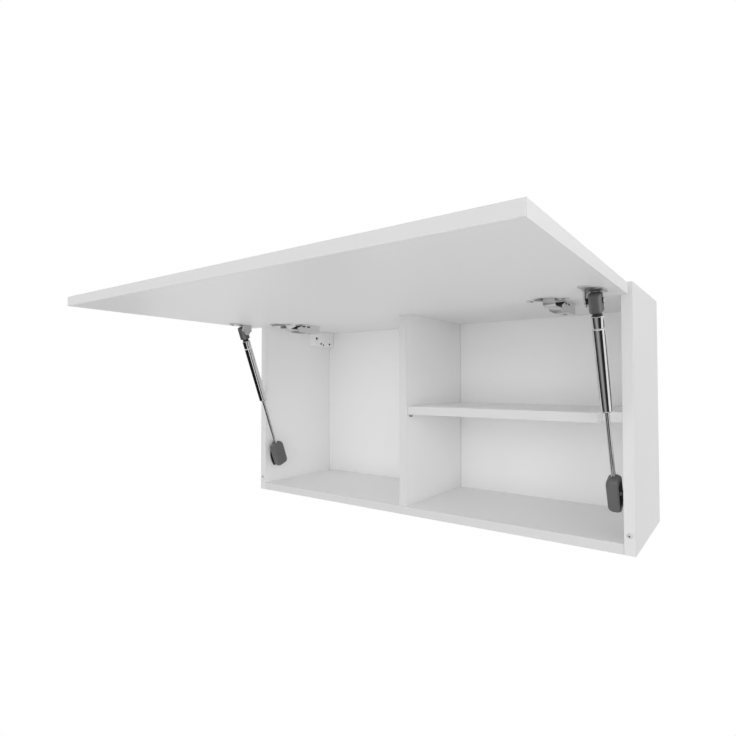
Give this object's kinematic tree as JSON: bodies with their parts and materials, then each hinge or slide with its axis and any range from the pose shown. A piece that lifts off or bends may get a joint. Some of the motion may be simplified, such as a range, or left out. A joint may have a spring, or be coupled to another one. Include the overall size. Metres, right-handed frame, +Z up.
{
  "type": "lift up wall cabinet",
  "caption": "Wide low wall cabinet with a lift up front held open by gas struts, cup hinges, a partition and a shelf.",
  "frame": {"origin": "middle of the bottom panel's back edge, half its thickness up, on the wall plane", "axes": "+X to the cabinet's right seen from the front, +Y towards the wall (the front faces -Y), +Z up; the door is stored open"},
  "size_m": [0.8, 0.6762, 0.4],
  "materials": {
    "melamine": "satin melamine",
    "back_board": "painted hardboard",
    "dowel_wood": "raw",
    "hinge_steel": "nickel plated",
    "screw_steel": "zinc plated",
    "bracket_steel": "zinc plated",
    "bumper_plastic": "soft",
    "hanger_plastic": "satin",
    "black_plastic": "satin",
    "grey_plastic": "satin",
    "barrel_chrome": "polished",
    "rod_chrome": "polished"
  },
  "bodies": {
    "carcass": {"side_left": "melamine", "side_right": "melamine", "top_panel": "melamine", "bottom_panel": "melamine", "partition": "melamine", "shelf": "melamine", "back_panel": "back_board", "carcass_dowels": "dowel_wood", "shelf_pins": "screw_steel", "door_bumpers": "bumper_plastic", "hanger_left": "hanger_plastic", "hanger_right": "hanger_plastic", "hanger_hook_left": "bracket_steel", "hanger_hook_right": "bracket_steel", "hanger_screws": "screw_steel", "hinge_arm_left": "hinge_steel", "hinge_arm_right": "hinge_steel", "hinge_arm_rivets": "hinge_steel", "hinge_springs": "black_plastic", "hinge_plate_left": "hinge_steel", "hinge_plate_right": "hinge_steel", "hinge_screws_top": "screw_steel", "hinge_adjusters": "screw_steel", "side_bracket_left": "black_plastic", "side_bracket_right": "black_plastic", "side_bracket_screws": "screw_steel", "side_studs": "bracket_steel"},
    "door": {"door_panel": "melamine", "hinge_cup_left": "hinge_steel", "hinge_cup_right": "hinge_steel", "hinge_cup_pins": "hinge_steel", "hinge_screws_door": "screw_steel", "door_bracket_left": "bracket_steel", "door_bracket_right": "bracket_steel", "door_bracket_screws": "screw_steel", "door_studs": "bracket_steel", "stud_washers": "black_plastic"},
    "strut_barrel_left": {"strut_head_left": "grey_plastic", "strut_neck_left": "black_plastic", "strut_barrel_left": "barrel_chrome", "strut_guide_left": "black_plastic"},
    "strut_rod_left": {"strut_rod_left": "rod_chrome", "strut_piston_left": "black_plastic", "strut_cap_left": "grey_plastic"},
    "hinge_link_left": {"hinge_link_left": "hinge_steel"},
    "strut_barrel_right": {"strut_head_right": "grey_plastic", "strut_neck_right": "black_plastic", "strut_barrel_right": "barrel_chrome", "strut_guide_right": "black_plastic"},
    "strut_rod_right": {"strut_rod_right": "rod_chrome", "strut_piston_right": "black_plastic", "strut_cap_right": "grey_plastic"},
    "hinge_link_right": {"hinge_link_right": "hinge_steel"}
  },
  "joints": [
    {"name": "door_lift", "type": "hinge", "parent": "carcass", "child": "door", "pos_m": [0, -0.265, 0.392], "axis": [1, 0, 0], "range_deg": [0, 90.6]},
    {"name": "strut_turn_left", "type": "hinge", "parent": "door", "child": "strut_barrel_left", "pos_m": [-0.368, -0.32138, 0.35559], "axis": [1, 0, 0], "range_deg": [-107, 0]},
    {"name": "strut_slide_left", "type": "slide", "parent": "strut_barrel_left", "child": "strut_rod_left", "axis": [0, 0.3603, -0.9328], "range_m": [-0.053, 0]},
    {"name": "hinge_link_turn_left", "type": "hinge", "parent": "door", "child": "hinge_link_left", "pos_m": [-0.29, -0.27637, 0.37592], "axis": [1, 0, 0], "range_deg": [-109, 0]},
    {"name": "strut_turn_right", "type": "hinge", "parent": "door", "child": "strut_barrel_right", "pos_m": [0.368, -0.32138, 0.35559], "axis": [1, 0, 0], "range_deg": [-107, 0]},
    {"name": "strut_slide_right", "type": "slide", "parent": "strut_barrel_right", "child": "strut_rod_right", "axis": [0, 0.3603, -0.9328], "range_m": [-0.053, 0]},
    {"name": "hinge_link_turn_right", "type": "hinge", "parent": "door", "child": "hinge_link_right", "pos_m": [0.29, -0.27637, 0.37592], "axis": [1, 0, 0], "range_deg": [-109, 0]}
  ],
  "couplings": [
    {"joint": "strut_turn_left", "follows": "door_lift", "ratio": -1.1748},
    {"joint": "strut_slide_left", "follows": "door_lift", "m_per_rad": -0.033},
    {"joint": "hinge_link_turn_left", "follows": "door_lift", "ratio": -1.2},
    {"joint": "strut_turn_right", "follows": "door_lift", "ratio": -1.1748},
    {"joint": "strut_slide_right", "follows": "door_lift", "m_per_rad": -0.033},
    {"joint": "hinge_link_turn_right", "follows": "door_lift", "ratio": -1.2}
  ]
}
